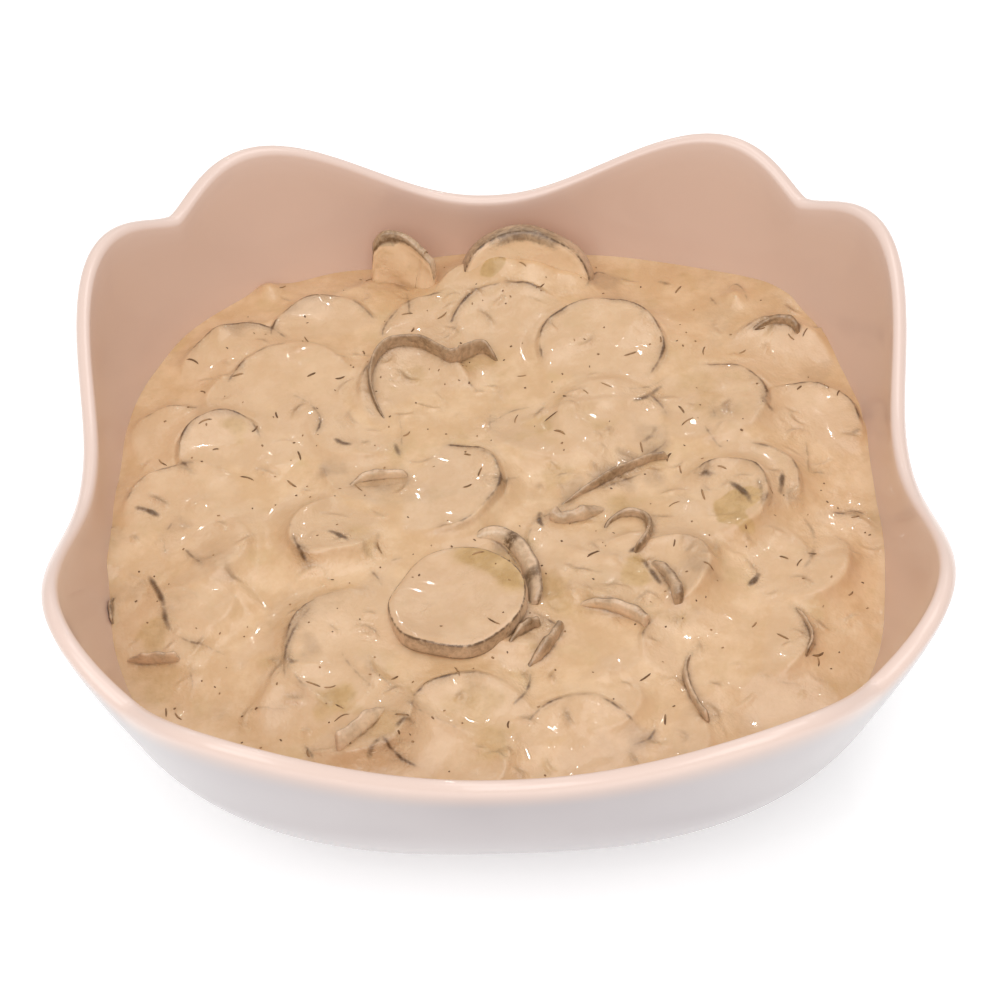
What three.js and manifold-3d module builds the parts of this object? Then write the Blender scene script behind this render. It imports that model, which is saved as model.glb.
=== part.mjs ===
// A square bowl with a wavy rim, filled with sliced cucumber in a thick dill cream.
// Millimetres, +Z up. The origin is on the table under the middle of the bowl, and -Y is the front.
import * as THREE from 'three';
import { mergeVertices } from 'three/addons/utils/BufferGeometryUtils.js';
import Module from 'manifold-3d';

const wasm = await Module();
wasm.setup();

// ---- Driving dimensions ----

// The bowl, in a section through the middle of one side.
const footInner = 66;            // half widths of the ring that it stands on
const footOuter = 70;
const footHeight = 2.4;
const wall = 4.4;                // thickness of the side wall, and the diameter of the rounded lip
const lipHalfWidth = 117;        // outer face just below the lip
const lipHeight = 68.5;          // centre of the lip's rounding, in the low middle of a side
const floorHeight = 8;           // top of the bowl's floor
const floorHalfWidth = 63;
const floorRounding = 3;         // how far in from there the floor is flat
const bellyPower = 0.625;        // roundness of the belly between foot and lip

// The plan: a rounded square that gets squarer towards the rim.
const footSquareness = 2.4;
const gainedSquareness = 0.63;

// The wavy rim: each corner rises in one broad swell with a narrow notch on the diagonal.
const cornerRise = 34.5;
const cornerRisePower = 1.1;
const notchDepth = 22.5;
const notchHalfAngle = THREE.MathUtils.degToRad(11);
const notchPower = 1.5;
const waveFrom = 50;             // the wall below this height is plain
const lobeFlare = 0.47;          // how far a raised lip leans outwards, for each millimetre of rise

// The salad.
const clearance = 0.35;          // gap left between solids that touch
const creamEdge = 50;            // height of the cream where it meets the wall
const creamCrown = 4;            // how much higher it stands in the middle
const creamDepth = 2.4;          // thickness of the cream that lies over the packed slices
const rippleHeight = 0.7;
const sliceThickness = 3;
const sliceSides = 10;
const needles = 32;              // dill needles on the cream
const needleSize = new THREE.Vector3(5, 0.9, 1.4);

// How finely the bowl and its filling are divided.
const fillingHeights = [9, 12.5, 19, 32];
const innerHeights = [...fillingHeights, creamEdge - creamDepth, 58];
const outerHeights = [6, 12, 21, 33, 46, 58];
const azimuths = 60;
const cornerCrowding = 0.16;     // gathers the azimuths at the corners

// ---- The bowl's shape as formulas ----

const squareness = (z) => footSquareness + gainedSquareness * Math.pow(Math.max(z, 0) / 70, 0.6);

// Radius of a rounded square of half width 1 in a given direction.
const roundedSquare = (angle, power) =>
  Math.pow(Math.abs(Math.cos(angle)) ** power + Math.abs(Math.sin(angle)) ** power, -1 / power);

// Half width of a bellied side that runs from one half width up to another.
function belly(z, from, to) {
  const share = THREE.MathUtils.clamp((z - from.z) / (to.z - from.z), 0, 1);
  return from.half + (to.half - from.half) * Math.pow(1 - (1 - share) ** 2, bellyPower);
}
const outerHalf = (z) =>
  belly(z, { z: footHeight, half: footOuter + 1 }, { z: lipHeight, half: lipHalfWidth });
const innerHalf = (z) =>
  belly(z, { z: floorHeight, half: floorHalfWidth }, { z: lipHeight, half: lipHalfWidth - wall });

// Extra height of the lip, by direction.
function rimRise(angle) {
  const fromCorner = Math.abs(((angle % (Math.PI / 2)) + Math.PI / 2) % (Math.PI / 2) - Math.PI / 4);
  const swell = Math.pow(0.5 + 0.5 * Math.cos(4 * fromCorner), cornerRisePower);
  const notch = Math.exp(-((fromCorner / notchHalfAngle) ** notchPower));
  return cornerRise * swell - notchDepth * notch;
}

// A point of the section, carried round to a direction and lifted with the wavy rim.
function onBowl(half, z, angle) {
  const lifted = rimRise(angle) * THREE.MathUtils.smoothstep(z, waveFrom, lipHeight);
  const radius = half * roundedSquare(angle, squareness(z)) + lobeFlare * lifted;
  return new THREE.Vector3(radius * Math.cos(angle), radius * Math.sin(angle), z + lifted);
}

// Height of the cream's surface: a low crown that dies out at the wall, with slow ripples.
function creamTop(x, y) {
  const angle = Math.atan2(y, x);
  const reach = Math.hypot(x, y) / (innerHalf(creamEdge) * roundedSquare(angle, squareness(creamEdge)));
  const inside = Math.max(0, 1 - reach * reach);
  const ripple = Math.sin(x / 9 + 0.8) * Math.cos(y / 8) + 0.6 * Math.sin(y / 5.5 - x / 13);
  return creamEdge + creamCrown * inside + rippleHeight * ripple * Math.min(1, 4 * inside);
}

// ---- Making and joining solids ----

// A LatheGeometry whose rows are then placed by a function, so that it need not stay round.
// rows run from the axis to the axis, and place(row, angle) gives each vertex.
function placedLathe(rows, steps, place) {
  const profile = rows.map((row, i) => new THREE.Vector2(1, i));
  const geometry = new THREE.LatheGeometry(profile, steps);
  const position = geometry.getAttribute('position');
  for (let i = 0; i < position.count; i++) {
    const turn = (Math.floor(i / rows.length) % steps) / steps * 2 * Math.PI;
    const angle = turn + cornerCrowding * Math.sin(4 * turn);
    const point = place(rows[i % rows.length], angle);
    position.setXYZ(i, point.x, point.y, point.z);
  }
  return geometry;
}

function solid(geometry) {
  const bare = geometry.clone();
  bare.deleteAttribute('normal');
  bare.deleteAttribute('uv');
  const merged = mergeVertices(bare, 1e-3);
  return new wasm.Manifold(new wasm.Mesh({
    numProp: 3,
    vertProperties: new Float32Array(merged.getAttribute('position').array),
    triVerts: new Uint32Array(merged.index.array),
  }));
}

function geometryOf(manifold) {
  const mesh = manifold.getMesh();
  return new THREE.BufferGeometry()
    .setAttribute('position', new THREE.BufferAttribute(new Float32Array(mesh.vertProperties), 3))
    .setIndex(new THREE.BufferAttribute(new Uint32Array(mesh.triVerts), 1));
}

const largest = (manifold) =>
  manifold.decompose().reduce((a, b) => (a.volume() > b.volume() ? a : b));

// ---- The bowl ----

function bowlGeometry() {
  const lipTurns = [0, 45, 90, 135, 180];
  const lipMiddle = lipHalfWidth - wall / 2;
  const rows = [
    { half: 0, z: footHeight },
    { half: footInner - 2, z: footHeight },
    { half: footInner, z: 0 },
    { half: footOuter, z: 0 },
    { half: footOuter + 1, z: footHeight },
    ...outerHeights.map((z) => ({ half: outerHalf(z), z })),
    ...lipTurns.map(THREE.MathUtils.degToRad).map((turn) => ({
      half: lipMiddle + (wall / 2) * Math.cos(turn),
      z: lipHeight + (wall / 2) * Math.sin(turn),
    })),
    ...innerHeights.toReversed().map((z) => ({ half: innerHalf(z), z })),
    { half: floorHalfWidth - floorRounding, z: floorHeight },
    { half: 0, z: floorHeight },
  ];
  return placedLathe(rows, azimuths, ({ half, z }, angle) => onBowl(half, z, angle));
}

// ---- The salad ----

// A row of points at one share of the way to the wall, a given drop below the cream's surface.
const surfaceRow = (reach, drop) => (angle) => {
  const z = creamEdge - drop;
  const radius = reach * (innerHalf(z) - clearance) * roundedSquare(angle, squareness(z));
  const x = radius * Math.cos(angle);
  const y = radius * Math.sin(angle);
  return new THREE.Vector3(x, y, creamTop(x, y) - drop);
};

// Rows just clear of the bowl's floor and of its wall.
const floorRows = [
  () => new THREE.Vector3(0, 0, floorHeight + clearance),
  (angle) => onBowl(floorHalfWidth - floorRounding - clearance, floorHeight + clearance, angle),
];
const wallRow = (z) => (angle) => onBowl(innerHalf(z) - clearance, z, angle);

// The packed slices and the cream between them, up to just below the surface.
function packedCore() {
  const rows = [
    ...floorRows,
    ...fillingHeights.map(wallRow),
    ...[1, 0.85, 0.62, 0.35, 0].map((reach) => surfaceRow(reach, creamDepth)),
  ];
  return placedLathe(rows, azimuths / 2, (row, angle) => row(angle));
}

// All the room inside the bowl. A slice is trimmed to it, so that none reaches the wall.
function insideOfBowl() {
  const rows = [
    ...floorRows,
    ...innerHeights.map(wallRow),
    wallRow(lipHeight),
    () => new THREE.Vector3(0, 0, 1.6 * lipHeight),
  ];
  return placedLathe(rows, azimuths, (row, angle) => row(angle));
}

// The cream that lies over them, deep enough for the core to be cut out of its underside.
function creamSlab() {
  const below = creamEdge - 2.5 * creamDepth;
  const rows = [
    () => new THREE.Vector3(0, 0, below),
    (angle) => surfaceRow(0.96, 0)(angle).setZ(below),
    surfaceRow(1, creamDepth - 2 * clearance),
    ...[1, 0.92, 0.8, 0.66, 0.5, 0.33, 0.17, 0].map((reach) => surfaceRow(reach, 0)),
  ];
  return placedLathe(rows, azimuths / 2, (row, angle) => row(angle));
}

// The slices that show. at: plan position; wide: diameter; lean: tilt of the face from level;
// toward: the direction in which the face tips, 0 right, 90 back, -90 front;
// lift: height of the middle above the cream; curl: how far the edge is rolled up, in degrees.
const slices = [
  // Along the back wall
  { at: [-29, 98], wide: 27, lean: 62, toward: -100, lift: 2.3, curl: 40 },
  { at: [16, 95], wide: 38, lean: 64, toward: -92, lift: -0.7, curl: 25, thick: 4 },
  { at: [-1, 88], wide: 33, lean: 36, toward: -75, lift: -0.1 },
  { at: [-51, 73], wide: 34, lean: 22, toward: -70, lift: 0.1 },
  { at: [86, 58], wide: 32, lean: 24, toward: -100, lift: -0.5 },
  // The second row
  { at: [6, 71], wide: 38, lean: 18, toward: -95, lift: 1.5 },
  { at: [-16, 72], wide: 34, lean: 14, toward: -110, lift: -0.5 },
  { at: [33, 62], wide: 38.5, lean: 15, toward: -80, lift: 2.7 },
  { at: [-76, 60], wide: 36, lean: 16, toward: -80, lift: 0.1 },
  { at: [-61, 49], wide: 37, lean: 12, toward: -120, lift: 0.5 },
  { at: [-24, 46], wide: 36, lean: 34, toward: -50, lift: 0.6, curl: 58, thick: 3.8 },
  // The left side, back to front
  { at: [-80, 24], wide: 27, lean: 26, toward: -60, lift: 1.3 },
  { at: [-67, 31], wide: 33, lean: 10, toward: 150, lift: -0.1 },
  { at: [-93, 30], wide: 28, lean: 12, toward: -60, lift: -0.3 },
  { at: [-90, 2], wide: 34, lean: 14, toward: -80, lift: -0.1 },
  { at: [-84, -16], wide: 30, lean: 24, toward: 150, lift: -0.1 },
  { at: [-93, -43], wide: 27, lean: 14, toward: -150, lift: 0.9 },
  { at: [-89, -66], wide: 27, lean: 60, toward: -84, lift: -3.7, thick: 3.4 },
  // The middle
  { at: [-47, -12], wide: 30, lean: 26, toward: 40, lift: 0.3, curl: 60 },
  { at: [-41, 31], wide: 29, lean: 14, toward: 60, lift: 0.1 },
  { at: [-33, 13], wide: 27, lean: 41, toward: 98, lift: -2.6 },
  { at: [-16, 4], wide: 38, lean: 18, toward: 150, lift: 1.5 },
  { at: [-10, -41], wide: 41.5, lean: 8, toward: 150, lift: 2.7, curl: 28, thick: 3.8 },
  { at: [14, 30], wide: 33, lean: 16, toward: 80, lift: 0.1 },
  { at: [35, 30], wide: 34, lean: 12, toward: -20, lift: 0.5 },
  { at: [31, 9], wide: 38, lean: 38, toward: 122, lift: -1.2 },
  { at: [28, -12], wide: 29, lean: 52, toward: -82, lift: -2.5, curl: 45, thick: 3.4 },
  { at: [49, -30], wide: 30, lean: 36, toward: 200, lift: -0.5, curl: 55 },
  { at: [31, -26], wide: 30, lean: 12, toward: 60, lift: -0.1 },
  { at: [33, -43], wide: 26, lean: 41, toward: 96, lift: -0.1 },
  { at: [13, -53], wide: 21, lean: 56, toward: -36, lift: -1.2, curl: 50, thick: 3.4 },
  // The right side, back to front
  { at: [64, 38], wide: 35, lean: 12, toward: 150, lift: 0.7 },
  { at: [92, 30], wide: 33, lean: 14, toward: -100, lift: 0.5 },
  { at: [75, 6], wide: 28, lean: 20, toward: 200, lift: -0.3 },
  { at: [65, -3], wide: 30, lean: 22, toward: 190, lift: 1.7, curl: 30 },
  { at: [97, -16], wide: 24, lean: 20, toward: -120, lift: -0.3 },
  { at: [73, -26], wide: 31, lean: 14, toward: 175, lift: 0.1 },
  { at: [72, -53], wide: 29, lean: 34, toward: 165, lift: -0.3 },
  { at: [58, -70], wide: 29, lean: 40, toward: 0, lift: -0.3 },
  { at: [76, -79], wide: 32, lean: 10, toward: -90, lift: -0.1 },
  // Along the front wall
  { at: [-39, -55], wide: 42, lean: 14, toward: -20, lift: 1.1 },
  { at: [-52, -73], wide: 28, lean: 28, toward: -60, lift: 0.1 },
  { at: [-37, -80], wide: 31, lean: 31, toward: 138, lift: 1.7 },
  { at: [-9, -83], wide: 36, lean: 14, toward: -85, lift: 0.9 },
  { at: [21, -90], wide: 34, lean: 10, toward: -95, lift: -0.3 },
  { at: [-24, -92], wide: 24, lean: 30, toward: -70, lift: -1.1 },
];

// A round slice in its own plane, rolled round its x axis if it is curled.
function sliceGeometry({ wide, curl = 0, thick = sliceThickness }, grown) {
  const half = thick / 2 + grown;
  const radius = wide / 2 + grown;
  const rows = curl
    ? [[0, -half], [0.6, -half], [1, -half], [1, half], [0.6, half], [0, half]]
    : [[0, -half], [1, -half], [1, half], [0, half]];
  const profile = rows.map(([reach, z]) => new THREE.Vector2(reach * radius, z));
  const disc = new THREE.LatheGeometry(profile, sliceSides).rotateX(Math.PI / 2);
  if (!curl) return disc;
  const roll = THREE.MathUtils.degToRad(curl) / (wide / 2);
  const position = disc.getAttribute('position');
  for (let i = 0; i < position.count; i++) {
    const [x, y, z] = [position.getX(i), position.getY(i), position.getZ(i)];
    const bend = y * roll;
    const arm = 1 / roll - z;
    position.setXYZ(i, x, arm * Math.sin(bend), 1 / roll - arm * Math.cos(bend));
  }
  return disc;
}

function placedSlice(slice, grown = 0) {
  const [x, y] = slice.at;
  const lean = THREE.MathUtils.degToRad(slice.lean);
  const toward = THREE.MathUtils.degToRad(slice.toward);
  const holder = new THREE.Object3D();
  holder.position.set(x, y, creamTop(x, y) + slice.lift);
  const level = new THREE.Quaternion().setFromAxisAngle(new THREE.Vector3(0, 0, 1), toward);
  const tip = new THREE.Quaternion().setFromAxisAngle(new THREE.Vector3(0, 1, 0), lean);
  holder.quaternion.copy(level).multiply(tip);
  holder.updateMatrix();
  return sliceGeometry(slice, grown).applyMatrix4(holder.matrix);
}

// Dill needles, each a long thin octahedron lying half sunk in the cream, spread in a sunflower pattern.
function dillNeedle(i) {
  const goldenAngle = Math.PI * (3 - Math.sqrt(5));
  const reach = 0.92 * Math.sqrt((i + 0.5) / needles);
  const spot = surfaceRow(reach, 0)(i * goldenAngle);
  return new THREE.OctahedronGeometry(0.5)
    .scale(needleSize.x, needleSize.y, needleSize.z)
    .rotateZ(i * i * goldenAngle)
    .translate(spot.x, spot.y, spot.z + 0.1 * needleSize.z);
}

const finish = (colour, roughness) =>
  new THREE.MeshStandardMaterial({ color: colour, roughness, metalness: 0 });

const part = new THREE.Group();
function add(name, geometry, material) {
  const mesh = new THREE.Mesh(geometry, material);
  mesh.name = name;
  part.add(mesh);
}

add('bowl', bowlGeometry(), finish(0xd2a98f, 0.25));

const core = solid(packedCore());
const shownSlices = wasm.Manifold.union(slices.map((slice) => solid(placedSlice(slice))));
const heap = core.add(shownSlices.intersect(solid(insideOfBowl())));
add('cucumber_slices', geometryOf(largest(heap)), finish(0xc9bd8c, 0.4));

const aroundSlices = wasm.Manifold.union(slices.map((slice) => solid(placedSlice(slice, clearance))));
const dill = wasm.Manifold.union(Array.from({ length: needles }, (_, i) => solid(dillNeedle(i))));
const cream = solid(creamSlab()).add(dill).subtract(core.translate([0, 0, clearance])).subtract(aroundSlices);
add('dill_cream', geometryOf(largest(cream)), finish(0xe2c098, 0.25));

export default part;
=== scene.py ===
"""A square wavy-rimmed bowl of sliced cucumber in cream and dill, dressed for rendering.

Lengths are in millimetres up to new_piece, which writes metres. +Z is up and -Y is the front.
"""
from collections import namedtuple
from math import cos, pi, radians, sin

import bpy
import numpy as np
from mathutils import Euler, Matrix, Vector


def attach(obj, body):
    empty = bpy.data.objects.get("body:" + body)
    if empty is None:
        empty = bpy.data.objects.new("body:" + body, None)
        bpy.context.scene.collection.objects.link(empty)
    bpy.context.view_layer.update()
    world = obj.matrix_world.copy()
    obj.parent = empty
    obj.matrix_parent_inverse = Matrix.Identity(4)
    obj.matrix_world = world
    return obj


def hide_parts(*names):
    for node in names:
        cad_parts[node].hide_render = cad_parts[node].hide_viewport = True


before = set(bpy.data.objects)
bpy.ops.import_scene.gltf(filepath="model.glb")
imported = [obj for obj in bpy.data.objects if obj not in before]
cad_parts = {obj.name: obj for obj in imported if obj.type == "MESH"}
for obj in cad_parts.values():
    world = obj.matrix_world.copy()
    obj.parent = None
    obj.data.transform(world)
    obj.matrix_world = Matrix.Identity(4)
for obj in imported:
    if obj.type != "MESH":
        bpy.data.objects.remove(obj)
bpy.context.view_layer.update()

MM = 0.001
draw = np.random.default_rng(41)

# ---- The photograph's camera, in pixels of its 1000 x 1000 and millimetres ----

FOCAL_PIXELS, CAMERA_DISTANCE, AIM_HEIGHT = 2780, 800, 50
ELEVATION, ROLL = radians(46.6), radians(1.6)
MIDDLE_PIXEL = (496.6, 510.8)

# ---- Sizes, as in the solids ----

FOOT_INNER, FOOT_OUTER, FOOT_HEIGHT = 66.0, 70.0, 2.4
WALL = 4.4
LIP_HALF_WIDTH, LIP_HEIGHT = 117.0, 68.5
FLOOR_HEIGHT, FLOOR_HALF_WIDTH, FLOOR_ROUNDING = 8.0, 63.0, 3.0
BELLY_POWER = 0.625
FOOT_SQUARENESS, GAINED_SQUARENESS = 2.4, 0.63
CORNER_RISE, CORNER_RISE_POWER = 34.5, 1.1
NOTCH_DEPTH, NOTCH_HALF_ANGLE, NOTCH_POWER = 22.5, radians(11), 1.5
WAVE_FROM, LOBE_FLARE = 50.0, 0.47
CREAM_EDGE, CREAM_CROWN, RIPPLE_HEIGHT = 50.0, 4.0, 0.7
CREAM_MIDDLE = CREAM_EDGE + 3.0             # about the height of the salad's surface
CREAM_HALF = 109                            # half the width of the cream

# Each slice: plan x and y, diameter, lean of the face from level, direction that the face tips
# towards (0 right, 90 back, -90 front) and height of its middle above the cream. Then, where it isn't
# as usual: the arc of its rim that shows through the cream, from, to and how dark, the curl of its edge
# in degrees, and its thickness.
SLICES = [
    # Along the back wall
    (-28, 98, 27, 62, -100, 2.3, 0, 0, 0, 80),
    (11, 96, 43, 72, -92, -2.0, 0, 0, 0.6, 15, 5.6),
    (-1, 86, 33, 24, -75, 0.1, 20, 160, 0.3),
    (-51, 73, 34, 22, -70, 0.1, 20, 215, 0.7),
    (86, 58, 32, 24, -100, -0.5, 60, 150, 0.7),
    # The second row
    (6, 71, 38, 18, -95, 1.5, 50, 195, 0.9),
    (-16, 72, 34, 14, -110, -0.5, 80, 200, 0.6),
    (33, 62, 38.5, 15, -80, 2.7, -65, 200, 1.0),
    (-76, 60, 36, 16, -80, 0.1, 35, 155, 1.0),
    (-61, 49, 37, 12, -120, 0.5, 95, 220, 0.7),
    (-24, 46, 36, 20, -60, 0.6, 20, 240, 0.5, 22, 3.8),
    # The left side, back to front
    (-80, 24, 27, 26, -60, 1.3, -60, 245, 0.9),
    (-67, 31, 33, 10, 150, -0.1, -25, 75, 0.8),
    (-93, 30, 28, 12, -60, -0.3, 50, 150, 0.6),
    (-90, 2, 34, 14, -80, -0.1, 75, 175, 0.6),
    (-84, -16, 30, 24, 150, -0.1, 60, 130, 0.3),
    (-93, -43, 27, 14, -150, 0.9, 20, 60, 0.3),
    (-89, -66, 27, 60, -84, -3.7, 0, 0, 0, 0, 3.4),
    # The middle
    (-47, -12, 30, 26, 40, 0.3, 170, 250, 0.5, 60),
    (-41, 31, 29, 14, 60, 0.1, 20, 120, 0.4),
    (-33, 13, 27, 41, 98, -2.6),
    (-16, 4, 38, 18, 150, 1.5, -100, 115, 1.0),
    (-11.4, -41, 38.8, 8, 150, 3.0, 0, 0, 0.5, 10, 4.6),
    (14, 30, 33, 16, 80, 0.1, 55, 200, 0.6),
    (35, 30, 34, 12, -20, 0.5, -65, 45, 0.7),
    (31, 9, 38, 38, 122, -1.2),
    (28, -12, 29, 52, -82, -2.5, 0, 0, 0, 45, 3.4),
    (49, -30, 30, 36, 200, -0.5, 20, 110, 0.4, 55),
    (31, -26, 30, 12, 60, -0.1),
    (33, -43, 26, 41, 96, -0.1),
    (13, -53, 21, 56, -36, -1.2, 0, 0, 0, 50, 3.4),
    # The right side, back to front
    (64, 38, 35, 12, 150, 0.7, -20, 115, 0.9),
    (92, 30, 33, 14, -100, 0.5, -5, 125, 0.8),
    (75, 6, 28, 20, 200, -0.8, -40, 105, 0.6),
    (65, -3, 30, 22, 190, 1.7, -30, 125, 0.8, 30),
    (97, -16, 24, 6, -120, -2.4, 25, 150, 0.6),
    (73, -26, 31, 10, 175, -1.3, -60, 35, 0.3),
    (72, -53, 29, 20, 165, -1.8, -60, 40, 0.4),
    (58, -70, 29, 30, 0, -1.3, 120, 240, 0.3),
    (76, -79, 32, 8, -90, -1.3, 60, 130, 0.2),
    # Along the front wall
    (-39, -55, 42, 14, -20, 1.1, 105, 230, 0.7),
    (-52, -73, 28, 28, -60, 0.1),
    (-37, -80, 31, 31, 138, 1.7, -90, 20, 0.4),
    (-9, -83, 36, 14, -85, 0.9, 60, 160, 0.9),
    (21, -90, 34, 10, -95, -0.3, 25, 155, 0.7),
    (-24, -92, 24, 30, -70, -1.1),
]
Slice = namedtuple("Slice", "x y wide lean toward lift rim_from rim_to dark curl thick",
                   defaults=(0, 0, 0, 0, 3.0))
LISTED = [Slice(*row) for row in SLICES]
HERO = 22                                   # the big round slice in front of the middle
STANDING = (1, HERO)                        # these stand clear of the cream; it flows over the others
DEEP = (0, 17, 20, 25, 26, 29, 30, 38, 45)  # these show as edges only

# Places in the salad are also given by the pixel of the photograph that shows them. A run of pixels is
# given as across, down, across, down and so on.

# Edges of peel that stand out of the cream, from their tapered end to their blunt one: height,
# thickness, darkness, how far their top leans to the left of the way they run (less than 0 for the
# right), and the pixels along the middle of each.
PEEL_EDGES = [
    (4.4, 1.3, 0.8, 0, 389, 421, 377, 402, 370, 380, 373, 360, 384, 346, 400, 340, 420, 341, 437, 349,
     452, 355, 469, 351, 483, 347, 498, 357),
    (3.6, 3.2, 0.2, 2, 474, 531, 488, 531, 504, 537, 517, 549, 526, 564, 531, 582, 533, 602),
    (3.2, 1.3, 0.3, 0, 124, 657, 138, 658, 158, 658, 180, 656),
    (2.6, 1.7, 0.1, 0, 347, 484, 362, 477, 383, 474, 409, 473),
    (2.8, 1.2, 0.7, 0, 551, 508, 575, 494, 602, 479, 630, 465, 652, 457, 669, 455),
    (3.2, 2.9, 0.3, 0, 608, 503, 593, 509, 577, 514, 562, 517, 551, 512),
    (2.6, 1.5, 0.7, 0, 602, 531, 610, 519, 626, 512, 643, 514, 650, 525, 644, 540, 634, 550),
    (3.0, 2.8, 0.5, 0, 650, 556, 662, 565, 671, 576, 677, 588, 679, 600),
    (3.0, 2.4, 0.2, 0, 579, 598, 600, 600, 622, 606, 640, 615, 648, 622),
    (3.0, 1.8, 0.8, 0, 507, 641, 519, 630, 531, 623, 541, 621),
    (3.4, 2.2, 0.6, 0, 526, 664, 540, 651, 552, 637, 562, 621),
    (2.4, 1.3, 0.4, 0, 694, 645, 687, 660, 686, 675, 691, 690, 699, 705, 709, 719),
    (3.2, 1.9, 0.1, -2, 387, 702, 372, 718, 355, 733, 337, 747),
    (1.8, 0.9, 0.5, 0, 791, 601, 802, 613, 811, 629, 812, 642, 806, 653),
    (2.2, 1.6, 1.0, 0, 748, 329, 764, 321, 780, 318, 792, 321, 799, 330),
    (2.2, 1.0, 0.6, 0, 114, 593, 110, 607, 112, 623),
]

SEGMENTED = 1  # the edge round the big slice, whose peel shows in dark segments

# The folded slice that stands at the back wall: heights and pixels along its middle, left to right.
FOLDED_HEIGHTS = (10, 16.5, 17.5, 16, 12, 6.5)
FOLDED_PIXELS = (371, 268, 383, 259, 396, 259, 409, 263, 422, 270, 434, 277)

# Dark lines where peel shows through the cream, fine and broad: darkness, and the pixels along each.
# Some of the broad ones are partly painted shade, dark wedges for shaded recesses beside folds.
FINE_LINES = [
    (0.5, 398, 411, 402, 436, 401, 457), (0.7, 406, 291, 409, 305, 410, 318),
    (0.7, 585, 287, 592, 276, 600, 272, 618, 280), (0.6, 727, 289, 735, 284, 743, 289, 748, 301),
    (0.6, 709, 296, 717, 304), (0.6, 804, 432, 808, 452, 809, 470, 820, 472, 833, 475),
    (0.8, 512, 705, 523, 695, 529, 685, 531, 672), (0.7, 630, 745, 645, 741, 652, 735, 657, 724),
    (0.4, 756, 670, 780, 681, 796, 683, 807, 689), (0.6, 368, 569, 376, 576, 383, 587),
    (0.7, 182, 546, 192, 556, 203, 564), (0.5, 347, 487, 378, 486, 406, 482),
    (0.6, 600, 489, 620, 482, 646, 472), (0.9, 381, 734, 392, 747, 404, 759, 424, 769),
    (0.9, 293, 533, 299, 548, 312, 567), (0.8, 312, 605, 297, 624, 288, 643, 284, 660, 285, 679),
    (0.6, 484, 476, 505, 478, 522, 476), (0.5, 552, 477, 566, 473, 582, 474),
    (0.5, 340, 650, 352, 668, 375, 689), (0.4, 355, 657, 385, 682, 411, 705, 444, 723, 500, 746),
    (0.5, 706, 403, 714, 412, 716, 420), (0.6, 834, 515, 855, 511, 875, 521),
    (0.5, 466, 377, 471, 385, 478, 391), (0.4, 620, 390, 650, 386, 665, 378),
    (0.5, 250, 713, 256, 707, 290, 709), (0.6, 304, 744, 310, 752, 314, 759),
    (0.5, 690, 474, 706, 471, 722, 476), (0.5, 186, 664, 192, 680, 190, 702),
    (0.6, 171, 631, 186, 640, 206, 646, 234, 660), (0.5, 540, 405, 510, 412, 487, 425),
]
BROAD_LINES = [
    (0.9, 135, 507, 147, 510, 161, 517), (0.5, 656, 281, 664, 283, 673, 285),
    (0.5, 845, 434, 855, 431, 863, 428), (1.0, 747, 586, 754, 581, 760, 573),
    (0.6, 393, 732, 400, 722, 408, 718, 417, 721), (0.6, 367, 758, 372, 746, 381, 736),
    (0.9, 334, 438, 343, 443, 353, 444), (0.9, 327, 530, 338, 534, 350, 541),
    (1.0, 540, 511, 539, 520, 544, 528), (1.0, 781, 469, 782, 480, 780, 493), (0.9, 629, 553, 640, 545),
    (0.9, 146, 572, 155, 586, 163, 602, 165, 618, 171, 631), (0.5, 802, 515, 814, 534, 812, 555, 802, 571),
    (0.8, 641, 559, 652, 572, 664, 588), (0.9, 787, 319, 797, 324, 800, 329),
    (0.7, 394, 438, 397, 450, 401, 459), (0.6, 287, 652, 291, 662, 300, 660),
    (0.7, 630, 402, 648, 396, 662, 385), (0.5, 640, 443, 652, 435, 656, 425),
    (0.6, 760, 395, 768, 403, 774, 412), (0.6, 495, 250, 497, 256, 508, 258),
    (0.4, 381, 522, 377, 540, 371, 560), (1.0, 727, 481, 737, 486, 747, 495, 752, 504),
    (0.6, 756, 476, 762, 490, 763, 512), (0.7, 699, 477, 705, 472, 712, 475),
]

# Long folds that stand a little out of the cream.
FOLD_LINES = [
    (355, 657, 385, 682, 411, 705, 444, 723, 500, 746),
    (527, 613, 552, 600, 580, 592, 615, 604, 650, 617, 706, 624), (556, 545, 590, 556, 625, 560, 650, 573),
    (335, 296, 370, 284, 405, 270, 440, 258, 480, 253), (520, 425, 560, 408, 600, 402, 640, 400),
    (210, 560, 240, 590, 275, 625),
]

# Greyish places where peel lies just under the cream: darkness, radius, pixel.
GREY_PLACES = [
    (0.5, 6, 240, 328), (0.45, 4, 182, 518), (0.5, 5, 302, 655), (0.3, 8, 700, 540), (0.4, 6, 600, 278),
    (0.3, 8, 735, 405), (0.35, 6, 130, 590), (0.3, 6, 820, 372), (0.35, 5, 640, 735), (0.3, 5, 700, 612),
    (0.3, 7, 655, 430), (0.3, 6, 395, 480), (0.5, 4, 575, 487), (0.55, 4, 602, 474), (0.5, 4, 630, 460),
    (0.5, 4, 652, 452), (0.4, 5, 632, 487), (0.4, 5, 652, 480), (0.5, 4, 497, 545), (0.4, 5, 610, 300),
    (0.4, 6, 470, 690), (0.4, 5, 340, 470), (0.45, 5, 700, 560),
]
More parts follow.
